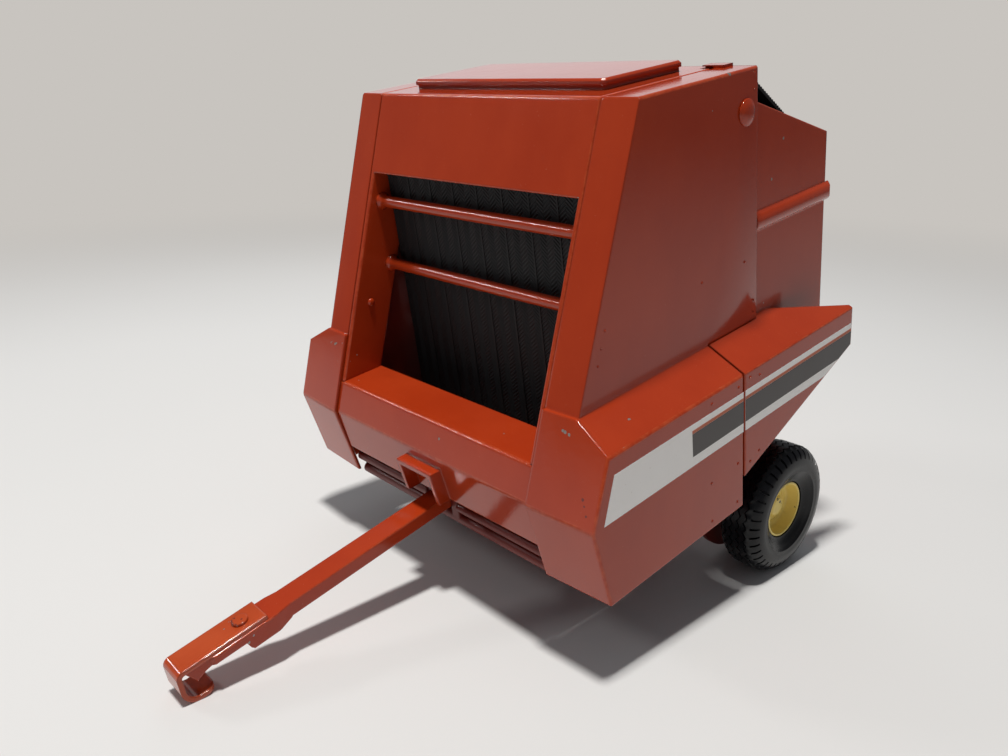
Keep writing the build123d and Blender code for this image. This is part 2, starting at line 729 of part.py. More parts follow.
shelf = wedge(shelf_profile(GATE_HALF), GATE_HALF, shelf_profile(SHIELD_HALF), SHIELD_HALF)
shelf_plan = make_face(
    Polyline(
        (GATE_HALF, SEAM_REAR_Y),
        (SHIELD_HALF, SEAM_REAR_Y),
        (SHIELD_HALF, wing_rear_y),
        (SHIELD_HALF - WALL, wing_rear_y),
        (GATE_HALF, WING_CUT_Y),
        close=True,
    )
)
shelf = shelf & extrude(shelf_plan, amount=ROOF_Z)
rail_r = (RAIL_HIGH**2 / 4 + RAIL_PROUD**2) / (2 * RAIL_PROUD)
rail_front_y = ROOF_REAR_Y + RUN + RAIL_SHY
rail_rear_y = GATE_REAR_Y + RAIL_PAST
rail_section = Pos(GATE_HALF + RAIL_PROUD - rail_r, RAIL_Z) * Circle(rail_r)
rail_section = rail_section & Pos(GATE_HALF + RAIL_PROUD, RAIL_Z) * Rectangle(2 * RAIL_PROUD, 2 * RAIL_HIGH)
rail = extrude(Plane.XZ.offset(-rail_front_y) * rail_section, amount=rail_front_y - rail_rear_y)
rail_out = GATE_HALF + RAIL_PROUD
rail_plan = make_face(
    Polyline(
        (GATE_HALF, rail_front_y),
        (rail_out, rail_front_y),
        (rail_out, rail_rear_y - RAIL_ROUND),
        (rail_out - RAIL_ROUND / 3, rail_rear_y - RAIL_ROUND / 3),
        (rail_out - RAIL_ROUND, rail_rear_y),
        (GATE_HALF, rail_rear_y),
        close=True,
    )
)
rail = rail & extrude(rail_plan, amount=ROOF_Z)
gate_hole = rod(AXLE_R + BORE_RUN, GATE_IN - WALL, GATE_HALF + WALL, PIVOT_Y, PIVOT_Z)
gate_wall = wall + wing_side + shelf + rail - gate_hole

# Tailgate rear panel with its curved foot, and the cross tube above it
panel_path = [(GATE_REAR_Y, PANEL_TOP_Z), (GATE_REAR_Y, GATE_BEND_Z), (GATE_FOOT_Y, GATE_FOOT_Z)]
gate_rear = band(panel_path, PANEL_CURVE, -GATE_IN, GATE_IN, WALL)
hem = rod(GATE_TUBE_R / 2 + WALL / 2, -GATE_IN, GATE_IN, GATE_REAR_Y - WALL / 2, PANEL_TOP_Z)
gate_rear = gate_rear + hem
tube_y = GATE_REAR_Y - GATE_TUBE_R - TUBE_SHY
gate_tube = rod(GATE_TUBE_R, -GATE_IN, GATE_IN, tube_y, GATE_TOP_REAR_Z - 2 * GATE_TUBE_R)

# Wheels: tyre with blocks along both shoulders, dished rim
LUGS = 40             # shoulder blocks around each side of the tyre
LUG_SLOT = 1.3
LUG_DEEP = 1.8
LUG_LONG = 5.0        # the blocks lie on the tyre's bevelled shoulder
LUG_FALL = 2.4
SIDE_ROUND = 1.6      # below the blocks the shoulder turns into the side
SIDE_FALL = 3.2
SIDE_BAND = 2.7       # plain band down to the recess around the rim
BEAD_INSET = 1.3
TYRE_RUN = 4.8        # between tyre and axle leg
tyre_in = leg_out + TYRE_RUN
tyre_out = tyre_in + TYRE_WIDE
bead_r = RIM_R + RIM_RUN
bead_high = TYRE_R - bead_r - LUG_FALL - SIDE_FALL - SIDE_BAND


def ring(x, radius):
    """Round section with one flat side for each shoulder block."""
    return Plane.YZ.offset(x) * RegularPolygon(radius, LUGS)


tyre = extrude(ring(tyre_in, TYRE_R), amount=TYRE_WIDE)
for end in (0, -1):
    for fall, inset in ((LUG_FALL, LUG_LONG), (SIDE_FALL, SIDE_ROUND)):
        side_face = tyre.faces().sort_by(Axis.X)[end]
        tyre = tyre.chamfer(fall, inset, side_face.edges(), side_face)
tyre = tyre - extrude(ring(tyre_in - WALL, bead_r), amount=TYRE_WIDE + 2 * WALL)
for end in (0, -1):
    side_face = tyre.faces().sort_by(Axis.X)[end]
    tyre = tyre.chamfer(bead_high, BEAD_INSET, side_face.inner_wires()[0].edges(), side_face)
slots = []
for i in range(LUGS):
    for x in (tyre_in, tyre_out):
        slot = Pos(x, 0, TYRE_R) * Box(2 * LUG_LONG, LUG_SLOT, 2 * LUG_DEEP)
        slots.append(Rot(360.0 * i / LUGS, 0, 0) * slot)
tyre = tyre - slots

FLANGE = 0.9
DISH = 6.2
HUB_R = 4.2
HUB_PROUD = 1.3
RIM_OUT_SHY = 0.4
RIM_IN_SHY = 1.0
AXLE_PROUD = 0.8
rim_out = tyre_out - RIM_OUT_SHY
rim_in = tyre_in + RIM_IN_SHY
bore_r = AXLE_R + BORE_RUN
hub_x = rim_out - DISH + HUB_PROUD
rim = turned(
    [
        (rim_in, bore_r),
        (rim_in, RIM_R),
        (rim_out, RIM_R),
        (rim_out, RIM_R - FLANGE),
        (rim_out - DISH, RIM_R - 2 * FLANGE),
        (rim_out - DISH, HUB_R),
        (hub_x, HUB_R),
        (hub_x, bore_r),
    ]
)
axle_end = hub_x + AXLE_PROUD
axle = rod(AXLE_R, -axle_end, axle_end, 0, 0)

PARTS = {
    "hood": hood,
    "sill": sill,
    "side_right": side,
    "side_left": mirrored(side),
    "liner_right": liner,
    "liner_left": mirrored(liner),
    "belly": belly,
    "pickup_rod_right": pickup_rod,
    "pickup_rod_left": mirrored(pickup_rod),
    "belt_front": belt_front,
    "belt_rear": belt_rear,
    "roller_front": roller_front,
    "roller_crest": roller_crest,
    "drawbar": drawbar,
    "hook": hook,
    "hook_rivet": hook_rivet,
    "pivot_rivet_right": pivot_rivet,
    "pivot_rivet_left": mirrored(pivot_rivet),
    "gate_wall_right": gate_wall,
    "gate_wall_left": mirrored(gate_wall),
    "gate_rear": gate_rear,
    "gate_tube": gate_tube,
    "axle": axle,
    "rim_right": rim,
    "rim_left": mirrored(rim),
    "tyre_right": tyre,
    "tyre_left": mirrored(tyre),
}
for name, (drop, ahead) in GUIDES.items():
    PARTS[name] = guide_bar(drop, ahead)

# Stance: tyres and hook both touch the floor, so the body tips forward about the axle.
# The hook's low bend is an arc about (bend_y, bend_z).
bend_y = hook_front_y + HOOK_LOW_R
bend_z = HOOK_LOW_Z + HOOK_LOW_R * (LIP_TILT + math.sqrt(1 + LIP_TILT**2))
pitch = math.atan2(bend_z, -bend_y) + math.asin((TYRE_R - HOOK_LOW_R) / math.hypot(bend_y, bend_z))
stance = Pos(0, 0, TYRE_R) * Rot(math.degrees(pitch), 0, 0)
placed = {name: stance * solid for name, solid in PARTS.items()}
front = min(solid.bounding_box().min.Y for solid in placed.values())
rear = max(solid.bounding_box().max.Y for solid in placed.values())
centre = Pos(0, -(front + rear) / 2, 0)
for name, solid in placed.items():
    export_step(centre * solid, f"parts/{name}.step")
print("pitch", math.degrees(pitch), "front", front, "rear", rear)
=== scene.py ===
import bisect
import math

import bmesh
import bpy
from mathutils import Matrix, Vector


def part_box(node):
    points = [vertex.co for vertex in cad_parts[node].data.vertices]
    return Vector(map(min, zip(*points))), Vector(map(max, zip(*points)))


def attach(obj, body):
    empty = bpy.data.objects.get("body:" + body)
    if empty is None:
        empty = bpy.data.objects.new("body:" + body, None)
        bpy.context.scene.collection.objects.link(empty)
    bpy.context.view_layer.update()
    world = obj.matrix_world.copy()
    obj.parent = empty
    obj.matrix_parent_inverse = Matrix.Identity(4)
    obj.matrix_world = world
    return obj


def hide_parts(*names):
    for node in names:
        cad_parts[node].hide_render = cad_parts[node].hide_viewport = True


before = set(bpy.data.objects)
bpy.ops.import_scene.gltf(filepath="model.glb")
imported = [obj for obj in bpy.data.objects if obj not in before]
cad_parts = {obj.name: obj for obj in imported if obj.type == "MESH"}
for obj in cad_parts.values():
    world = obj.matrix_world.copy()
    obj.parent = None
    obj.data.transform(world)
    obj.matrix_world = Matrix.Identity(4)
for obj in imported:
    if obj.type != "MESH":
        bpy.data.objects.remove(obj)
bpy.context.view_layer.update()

# Stance. The toy stands tipped forward on its hook. New pieces are drawn level, in
# millimetres from the middle of the axle, and are then tipped with the castings.
MILLIMETRE = 0.001
PITCH = math.radians(8.8788)
axle_low, axle_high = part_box("axle")
STANCE = (
    Matrix.Translation((axle_low + axle_high) / 2)
    @ Matrix.Rotation(PITCH, 4, "X")
    @ Matrix.Scale(MILLIMETRE, 4)
)


# Enamel. The castings are dipped in gloss orange-red enamel, which dulls where it is handled
# and chips to grey metal on the edges. Its darker copy in the chamber is painted shade, and
# its lighter rounded edges are partly rubbed paint and partly painted highlight.
class Value:
    """A number or colour that varies over a finish: one output of its nodes."""

    def __init__(self, finish, socket):
        self.finish = finish
        self.socket = socket

    def math(self, operation, *others):
        return self.finish.add("ShaderNodeMath", {"operation": operation}, (self, *others))

    def __add__(self, other):
        return self.math("ADD", other)

    def __sub__(self, other):
        return self.math("SUBTRACT", other)

    def __mul__(self, other):
        return self.math("MULTIPLY", other)

    def __rsub__(self, other):
        return self.finish.add("ShaderNodeMath", {"operation": "SUBTRACT"}, (other, self))

    __radd__ = __add__

    def step(self, low, high):
        """0 below low, 1 above high, soft between."""
        inputs = {"Value": self, "From Min": low, "From Max": high}
        settings = {"interpolation_type": "SMOOTHSTEP"}
        return self.finish.add("ShaderNodeMapRange", settings, inputs)


class Finish:
    """Node material of one finish."""

    def __init__(self, name, constants):
        self.material = bpy.data.materials.new(name)
        self.material.use_nodes = True
        self.tree = self.material.node_tree
        self.shader = self.tree.nodes["Principled BSDF"]
        for socket, value in constants.items():
            self.shader.inputs[socket].default_value = value
        self.place = self.add("ShaderNodeTexCoord", {}, {}, "Object")

    def add(self, kind, settings, inputs, output=0):
        """New node. inputs are named or numbered values, numbers or colours."""
        node = self.tree.nodes.new(kind)
        for key, value in settings.items():
            setattr(node, key, value)
        for key, value in inputs.items() if isinstance(inputs, dict) else enumerate(inputs):
            if isinstance(value, Value):
                self.tree.links.new(value.socket, node.inputs[key])
            else:
                node.inputs[key].default_value = value
        return Value(self, node.outputs[output])

    def mix(self, share, under, over):
        """Colour: under where share is 0, over where it is 1."""
        inputs = {0: share, 6: under, 7: over}
        return self.add("ShaderNodeMix", {"data_type": "RGBA"}, inputs, 2)

    def stretched(self, x, y, z):
        inputs = (self.place, (x, y, z))
        return self.add("ShaderNodeVectorMath", {"operation": "MULTIPLY"}, inputs)

    def noise(self, scale, detail=2.0, rough=0.5, place=None):
        """Cloudy pattern, scale per metre."""
        inputs = {
            "Vector": place or self.place,
            "Scale": scale,
            "Detail": detail,
            "Roughness": rough,
        }
        return self.add("ShaderNodeTexNoise", {}, inputs, "Fac")

    def bump(self, height, depth, under=None):
        """Relief of a depth in metres, over another relief or normal."""
        inputs = {"Height": height, "Distance": depth, "Strength": 1.0}
        if under:
            inputs["Normal"] = under
        return self.add("ShaderNodeBump", {}, inputs)

    def feed(self, **values):
        """Links the values to the shader's sockets and hands the material over."""
        for socket, value in values.items():
            self.tree.links.new(value.socket, self.shader.inputs[socket.replace("_", " ")])
        return self.material


def rgb(red, green, blue):
    """Colour as seen, 0 to 255, in the linear values that a socket takes."""
    seen = [c / 255 for c in (red, green, blue)]
    linear = [c / 12.92 if c < 10 / 255 else ((c + 0.055) / 1.055) ** 2.4 for c in seen]
    return (*linear, 1.0)


ZINC = rgb(150, 146, 140)
CHIP_DEEP = 0.00005   # metres, as the next two
PEEL_DEEP = 0.00003
SOFT_EDGE = 0.001

# Knocks and dirt in their places on the toy: x, y, z and radius in millimetres, and
# whether the knock shows bare metal.
KNOCKS = [
    (64.3, -21.4, 80.6, 0.5, True), (65.5, -21.5, 80.4, 0.6, True),
    (66.9, -21.6, 80.1, 0.5, True), (8.9, -25.2, 61.8, 0.5, True),
    (68.6, 44.1, 181.5, 0.8, True), (66.6, 81.8, 160.7, 0.5, True),
    (76.4, -24.9, 63.4, 0.5, False), (77.3, -25.2, 61.5, 0.4, False),
    (78.6, -25.8, 59.0, 0.6, False), (-1.7, -100.4, 18.4, 0.5, False),
    (-1.4, -101.3, 18.3, 0.5, False), (-0.6, -101.9, 18.2, 0.5, False),
    (0.4, -102.0, 18.2, 0.5, False), (1.3, -101.4, 18.3, 0.4, False),
    (0.6, -99.0, 18.6, 0.4, False),
]


def enamel(name, light, dark, worn=0.0, dull=0.0):
    """Dipped gloss paint over zinc. worn is how far its edges are chipped, dull is the
    roughness added to the gloss."""
    finish = Finish(name, {"Specular IOR Level": 0.4, "Coat Roughness": 0.06})
    cloud = finish.noise(22.0, 3.0, 0.55)
    film = finish.noise(60.0, 4.0, 0.6, finish.stretched(1.0, 1.0, 0.35))
    colour = finish.mix((cloud * 0.6 + film * 0.4).step(0.3, 0.7), dark, light)
    grime = finish.noise(190.0, 5.0, 0.65).step(0.62, 0.85)
    colour = finish.mix(grime * 0.12, colour, rgb(92, 40, 24))
    dust = finish.noise(1500.0, 2.0, 0.6).step(0.71, 0.76)
    colour = finish.mix(dust * 0.22, colour, rgb(206, 150, 120))
    rounding = finish.add("ShaderNodeAttribute", {"attribute_name": "edge"}, {}, "Fac")
    rub = finish.noise(330.0, 4.0, 0.7)
    # Rounded edges painted lighter: partly rubbed, thin paint and partly a painted highlight
    # along the edges.
    rubbed_and_highlit = rounding * rub.step(0.35, 0.65)
    colour = finish.mix(rubbed_and_highlit * 0.3, colour, rgb(206, 98, 58))
    patch = finish.noise(45.0, 2.0, 0.5)
    chip = rounding * (rub * 0.5 + patch * 0.5).step(0.69 - worn, 0.70 - worn)
    speck = finish.noise(520.0, 1.0, 0.4) * 0.5 + finish.noise(33.0, 1.0, 0.5) * 0.5
    chip = chip + speck.step(0.735, 0.74)
    ragged = (rub - 0.5) * 3.0
    for x, y, z, size, bare in KNOCKS:
        spot = (x * MILLIMETRE, y * MILLIMETRE, z * MILLIMETRE)
        inputs = (finish.place, spot)
        away = finish.add("ShaderNodeVectorMath", {"operation": "DISTANCE"}, inputs, "Value")
        mark = 1 - (away * (1 / (size * MILLIMETRE)) + ragged).step(0.85, 1.0)
        if bare:
            chip = chip + mark
        else:
            colour = finish.mix(mark * 0.7, colour, rgb(58, 36, 38))
    chip = chip.math("MINIMUM", 1.0)
    colour = finish.mix(chip, colour, ZINC)
    gloss = finish.noise(75.0, 3.0, 0.6)
    rough = 0.08 + dull + gloss * 0.08 + grime * 0.12 + chip * 0.3
    peel = finish.noise(420.0, 2.0, 0.5)
    flow = finish.add("ShaderNodeBevel", {"samples": 8}, {"Radius": SOFT_EDGE}, "Normal")
    relief = finish.bump(peel, PEEL_DEEP, finish.bump(1 - chip, CHIP_DEEP, flow))
    return finish.feed(
        Base_Color=colour,
        Roughness=rough,
        Metallic=chip * 0.7,
        Coat_Weight=(1 - chip) * 0.1,
        Normal=relief,
    )


paint = enamel("gloss_enamel", rgb(168, 55, 21), rgb(158, 48, 17))
# Darker copy of the enamel, painted shade, for the liners, the belly and the pickup rods in the
# chamber.
painted_shade_enamel = enamel("enamel_with_painted_shade", rgb(112, 26, 12), rgb(90, 18, 9), dull=0.35)


# Castings. Die-cast shells with every edge rounded by the mould and the paint. Each takes
# its faces from its CAD node, joined up, and is rounded in three steps: the long outer
# edges, then all others with room for the same radius, then the edges of narrow faces.
SHARP = math.radians(24)
CREASE = math.radians(42)
FLAT = math.radians(0.6)
JOIN = 2e-5           # metres, as the next two
LONG_EDGE = 0.02
NARROW = 0.0002
ROOM_ALONG = 2.6      # what an edge needs to be rounded, in radii
ROOM_ACROSS = 2.3
FREE_END = 1.5


def creased(bm, angle):
    """Smooth faces that keep the edges where they meet at more than the angle."""
    for face in bm.faces:
        face.smooth = True
    for edge in bm.edges:
        edge.smooth = len(edge.link_faces) == 2 and edge.calc_face_angle() < angle


def finished(bm, name, material, body, slot, *nodes):
    """The piece, on its body, standing for the nodes. slot is not used."""
    mesh = bpy.data.meshes.new(name)
    bm.to_mesh(mesh)
    bm.free()
    mesh.materials.append(material)
    piece = bpy.data.objects.new(name, mesh)
    bpy.context.scene.collection.objects.link(piece)
    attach(piece, body)
    if nodes:
        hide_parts(*nodes)
    return piece


def room(edge):
    """How wide the narrower face beside an edge is, seen across the edge."""
    foot = edge.verts[0].co
    along = (edge.verts[1].co - foot).normalized()
    widths = []
    for face in edge.link_faces:
        reaches = [v.co - foot for v in face.verts]
        widths.append(max((reach - along * reach.dot(along)).length for reach in reaches))
    return min(widths)


def free(edge, radius):
    """Whether it is an outer edge with no short edge at its ends."""
    ends = [other for v in edge.verts for other in v.link_edges]
    return edge.is_convex and all(other.calc_length() > FREE_END * radius for other in ends)


def rounded(bm, worn, radius, long=0.0):
    """Rounds the sharp edges that have room for the radius, or only the long outer ones."""
    picked = []
    for edge in bm.edges:
        if len(edge.link_faces) != 2 or any(face[worn] for face in edge.link_faces):
            continue
        length = edge.calc_length()
        if edge.calc_face_angle() > SHARP and length > ROOM_ALONG * radius:
            if room(edge) > ROOM_ACROSS * radius:
                if not long or (length > long and free(edge, radius)):
                    picked.append(edge)
    made = bmesh.ops.bevel(
        bm,
        geom=picked,
        offset=radius,
        offset_type="OFFSET",
        segments=4,
        profile=0.5,
        affect="EDGES",
        clamp_overlap=True,
        loop_slide=True,
    )
    # Rounded faces are marked for the enamel, which chips them and paints them lighter, partly as
    # painted highlight.
    for face in made["faces"]:
        face[worn] = 1.0


def casting(node, material, body, slot, radius=0.8):
    """CAD node with rounded edges, radius in millimetres."""
    bm = bmesh.new()
    bm.from_mesh(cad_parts[node].data)
    worn = bm.faces.layers.float.new("edge")
    bmesh.ops.remove_doubles(bm, verts=bm.verts, dist=JOIN)
    bmesh.ops.dissolve_limit(bm, angle_limit=FLAT, verts=bm.verts, edges=bm.edges)
    rounded(bm, worn, radius * MILLIMETRE, LONG_EDGE)
    rounded(bm, worn, radius * MILLIMETRE)
    rounded(bm, worn, NARROW)
    creased(bm, CREASE)
    piece = finished(bm, node + "_cast", material, body, slot, node)
    piece.modifiers.new("flat_faces", "WEIGHTED_NORMAL").keep_sharp = True


casting("hood", paint, "chassis", "casting_paint")
casting("sill", paint, "chassis", "casting_paint")
casting("side_right", paint, "chassis", "casting_paint")
casting("side_left", paint, "chassis", "casting_paint")
casting("liner_right", painted_shade_enamel, "chassis", "inner_paint", radius=0.4)
casting("liner_left", painted_shade_enamel, "chassis", "inner_paint", radius=0.4)
casting("belly", painted_shade_enamel, "chassis", "inner_paint", radius=0.4)


# Turned pieces. Bars, rods and rivets are round: an outline swept about an axis that
# runs across the machine.
def drawn(bm, name, material, body, slot, *nodes, crease=None):
    """Piece drawn level and in millimetres, tipped with the toy. crease in degrees."""
    bmesh.ops.recalc_face_normals(bm, faces=bm.faces)
    if crease:
        creased(bm, math.radians(crease))
    bm.transform(STANCE)
    finished(bm, name, material, body, slot, *nodes)


def lathe(name, outline, centre, material, body, slot, *nodes, sides=48, crease=40):
    """outline is (x, radius) in order, centre is (y, z), both level and in millimetres."""
    bm = bmesh.new()
    y, z = centre
    turns = [2 * math.pi * i / sides for i in range(sides)]
    rings = []
    for x, radius in outline:
        if radius:
            ring = [(x, y + radius * math.cos(t), z + radius * math.sin(t)) for t in turns]
        else:
            ring = [(x, y, z)]
        rings.append([bm.verts.new(point) for point in ring])
    for one, two in zip(rings, rings[1:]):
        for i in range(sides):
            j = (i + 1) % sides
            corners = [one[i % len(one)], one[j % len(one)], two[j % len(two)], two[i % len(two)]]
            bm.faces.new(list(dict.fromkeys(corners)))
    drawn(bm, name, material, body, slot, *nodes, crease=crease)


def rod(start, end, radius, chamfer):
    """Outline of a round rod with chamfered ends."""
    return [
        (start, 0),
        (start, radius - chamfer),
        (start + chamfer, radius),
        (end - chamfer, radius),
        (end, radius - chamfer),
        (end, 0),
    ]


def level_centre(node):
    """Middle of a node that runs across the machine, as level (y, z) in millimetres."""
    low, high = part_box(node)
    middle = STANCE.inverted() @ ((low + high) / 2)
    return middle.y, middle.z


def half_width(node):
    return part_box(node)[1].x / MILLIMETRE


# Guide bars: two cast rods across the opening, painted with the body, that swell where
# they meet its side walls.
GUIDE_R = 2.2
SWELL_R = 3.4
SWELL_LONG = 3.2
SWELL_CURVE = 2.4
SWELL_STEPS = 8


def swelling(x_end, outward):
    """Concave flare from the bar to the wall."""
    flare = []
    for i in range(SWELL_STEPS + 1):
        t = i / SWELL_STEPS
        x = x_end - outward * SWELL_LONG * (1 - t)
        flare.append((x, GUIDE_R + (SWELL_R - GUIDE_R) * t**SWELL_CURVE))
    return flare


for guide in ("guide_bar_upper", "guide_bar_lower"):
    half = half_width(guide)
    right = swelling(half, 1)
    left = swelling(-half, -1)[::-1]
    outline = [(-half, 0), *left, *right, (half, 0)]
    centre = level_centre(guide)
    lathe(guide + "_turned", outline, centre, paint, "chassis", "casting_paint", guide)

# Rollers under the belt: two plain black plastic barrels, one high up in front and one
# under the crest. They are hardly seen.
ROLLER_CHAMFER = 0.4
plastic = Finish("black_plastic", {"Specular IOR Level": 0.4})
smear = plastic.noise(130.0, 4.0, 0.6)
black_plastic = plastic.feed(
    Base_Color=plastic.mix(smear, rgb(26, 25, 26), rgb(44, 42, 43)),
    Roughness=0.45 + smear * 0.25,
)
for roller in ("roller_front", "roller_crest"):
    half = half_width(roller)
    low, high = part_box(roller)
    radius = (high.z - low.z) / 2 / MILLIMETRE
    outline = rod(-half, half, radius, ROLLER_CHAMFER)
    centre = level_centre(roller)
    lathe(roller + "_turned", outline, centre, black_plastic, "chassis", "dark_plastic", roller)

# Pickup rods: two cast rods under the front panel, one on each side, in the belly's darker
# enamel, whose darkness is painted shade.
PICKUP_R = 2.0
PICKUP_CHAMFER = 0.3
for hand in ("right", "left"):
    node = "pickup_rod_" + hand
    low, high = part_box(node)
    outline = rod(low.x / MILLIMETRE, high.x / MILLIMETRE, PICKUP_R, PICKUP_CHAMFER)
    centre = level_centre(node)
    lathe(node + "_turned", outline, centre, painted_shade_enamel, "chassis", "inner_paint", node)


# Belt. One moulded rubber sheet in the toy, with fine raised lines that part it into
# strips and a herringbone of small ribs on them. It hangs behind the bars, runs over
# the crest, wider there than between the liners, and down inside the tailgate.
rubber = Finish("belt_rubber", {"Specular IOR Level": 0.35})
bloom = rubber.noise(40.0, 4.0, 0.6)
lint = rubber.noise(900.0, 2.0, 0.6).step(0.66, 0.74)
shade = rubber.mix(bloom, rgb(14, 13, 15), rgb(24, 23, 25))
belt_rubber = rubber.feed(
    Base_Color=rubber.mix(lint * 0.2, shade, rgb(80, 74, 72)),
    Roughness=0.5 + bloom * 0.2,
    Normal=rubber.bump(rubber.noise(2500.0), depth=0.00003),
)
BELT_THICK = 1.2
RIB_PITCH = 1.45
RIB_HIGH = 0.26
RIB_SHAPE = (0.0, RIB_HIGH, RIB_HIGH, 0.0)
RIB_RISE = 2.6        # each rib climbs by this much to the top of its V
RIB_LEGS = 4          # two Vs across a strip
RIB_GAP = 0.06        # between a rib's end and the line
LINE_HALF = 0.3
LINE_HIGH = 0.3
MERGE = 0.004         # closer points become one, such as ribs clamped at the sheet's ends


class Path:
    """Side view path (y, z) with rounded corners, met by its length."""

    ARC_STEP = 2.0    # degrees

    def __init__(self, points, radius):
        points = [Vector(p) for p in points]
        length = 0.0
        last = points[0]
        turn = (points[1] - points[0]).normalized()
        self.marks = [(0.0, last, math.atan2(turn.y, turn.x))]
        for before, corner, after in zip(points, points[1:], points[2:]):
            a = (corner - before).normalized()
            b = (after - corner).normalized()
            angle = math.atan2(a.x * b.y - a.y * b.x, a.dot(b))
            tangent = radius * math.tan(abs(angle) / 2)
            start = corner - a * tangent
            length += (start - last).length
            heading = math.atan2(a.y, a.x)
            self.marks.append((length, start, heading))
            side = Vector((-a.y, a.x)) * (radius if angle > 0 else -radius)
            steps = max(2, int(abs(math.degrees(angle)) / self.ARC_STEP))
            for i in range(1, steps + 1):
                part = angle * i / steps
                last = start + side - Matrix.Rotation(part, 2) @ side
                length += radius * abs(angle) / steps
                self.marks.append((length, last, heading + part))
        length += (points[-1] - last).length
        self.marks.append((length, points[-1], self.marks[-1][2]))
        self.length = length
        self.starts = [mark[0] for mark in self.marks]

    def at(self, length):
        """Point and left-hand normal at a length along the path."""
        i = min(max(bisect.bisect_right(self.starts, length) - 1, 0), len(self.marks) - 2)
        (s0, p0, h0), (s1, p1, h1) = self.marks[i], self.marks[i + 1]
        t = 0.0 if s1 - s0 < 1e-9 else (length - s0) / (s1 - s0)
        heading = h0 + (h1 - h0) * t
        return p0.lerp(p1, t), Vector((-math.sin(heading), math.cos(heading)))


def belt_columns(half, strips):
    """Columns across the belt: x, how far the ribs have climbed, raised line or not."""
    wide = 2 * half / strips
    columns = []
    for strip in range(strips):
        x0 = -half + strip * wide
        first = x0 + (LINE_HALF if strip else 0.0)
        last = x0 + wide - (LINE_HALF if strip < strips - 1 else 0.0)
        if strip:
            columns.append((first, 0.0, True))
        for leg in range(RIB_LEGS + 1):
            x = first + RIB_GAP + (last - first - 2 * RIB_GAP) * leg / RIB_LEGS
            columns.append((x, RIB_RISE if leg % 2 else 0.0, False))
        if strip < strips - 1:
            columns.append((last, 0.0, True))
    return columns


def belt(name, points, radius, half, strips, node, body):
    """Sheet along a path, with its ribs and lines on the left-hand side of the path."""
    path = Path(points, radius)
    columns = belt_columns(half, strips)
    parts = len(RIB_SHAPE)
    rows = int((path.length + RIB_RISE) / RIB_PITCH * parts) + 1
    bm = bmesh.new()
    front, back = [], []
    for row in range(rows):
        front_row, back_row = [], []
        for x, climb, line in columns:
            s = min(max(row * RIB_PITCH / parts - RIB_RISE + climb, 0.0), path.length)
            at, out = path.at(s)
            proud = at + out * (LINE_HIGH if line else RIB_SHAPE[row % parts] - RIB_HIGH / 2)
            front_row.append(bm.verts.new((x, proud.x, proud.y)))
            behind = at - out * BELT_THICK
            back_row.append(bm.verts.new((x, behind.x, behind.y)))
        front.append(front_row)
        back.append(back_row)
    for r in range(rows - 1):
        for c in range(len(columns) - 1):
            bm.faces.new((front[r][c], front[r][c + 1], front[r + 1][c + 1], front[r + 1][c]))
            bm.faces.new((back[r][c], back[r + 1][c], back[r + 1][c + 1], back[r][c + 1]))
        for c in (0, len(columns) - 1):
            bm.faces.new((front[r][c], front[r + 1][c], back[r + 1][c], back[r][c]))
    for r in (0, rows - 1):
        for c in range(len(columns) - 1):
            bm.faces.new((front[r][c], front[r][c + 1], back[r][c + 1], back[r][c]))
    bmesh.ops.remove_doubles(bm, verts=bm.verts, dist=MERGE)
    drawn(bm, name, belt_rubber, body, "belt_rubber", node)


BELT_LOW = 19.0
BELT_FOOT = 26.0      # how far the belt runs back along the floor of the chamber
BELT_FRONT = -63.53
BELT_BEND = 137.9     # above it the belt leans back
LEAN = 0.404
BELT_TOP = 156.9
LINER_TAIL = -3.1     # behind the liners the belt is wider
CREST = 9.5
BELT_FALL = 0.767     # slope behind the crest
TAIL = 34.0
SPLIT = 2.6           # between the sheet on the chassis and the one in the tailgate
BELT_REAR = 44.0
REAR_BEND = 62.0
REAR_FOOT = (17.5, 29.0)
CHAMBER_HALF = 52.0
CREST_HALF = 60.0


def on_the_fall(y):
    return y, BELT_TOP - (y - CREST) * BELT_FALL


belt(
    "belt_over_the_chamber",
    [
        (BELT_FRONT + BELT_FOOT, BELT_LOW),
        (BELT_FRONT, BELT_LOW),
        (BELT_FRONT, BELT_BEND),
        (BELT_FRONT + (BELT_TOP - BELT_BEND) * LEAN, BELT_TOP),
        (LINER_TAIL, BELT_TOP),
    ],
    radius=10.0,
    half=CHAMBER_HALF,
    strips=8,
    node="belt_front",
    body="chassis",
)
belt(
    "belt_over_the_crest",
    [(LINER_TAIL, BELT_TOP), (CREST, BELT_TOP), on_the_fall(TAIL)],
    radius=10.0,
    half=CREST_HALF,
    strips=10,
    node="belt_front",
    body="chassis",
)
belt(
    "belt_in_the_tailgate",
    [on_the_fall(TAIL + SPLIT), on_the_fall(BELT_REAR), (BELT_REAR, REAR_BEND), REAR_FOOT],
    radius=5.0,
    half=CREST_HALF,
    strips=10,
    node="belt_rear",
    body="tailgate",
)

# Tailgate: two cast walls with the rail and the rear part of the shield, a rear panel
# and a cross tube, hung on the two pivot rivets.
GATE_TUBE_R = 1.9
casting("gate_wall_right", paint, "tailgate", "casting_paint", radius=0.35)
casting("gate_wall_left", paint, "tailgate", "casting_paint", radius=0.35)
casting("gate_rear", paint, "tailgate", "casting_paint", radius=0.4)
half = half_width("gate_tube")
outline = [(-half, 0), (-half, GATE_TUBE_R), (half, GATE_TUBE_R), (half, 0)]
centre = level_centre("gate_tube")
lathe("gate_tube_turned", outline, centre, paint, "tailgate", "casting_paint", "gate_tube")

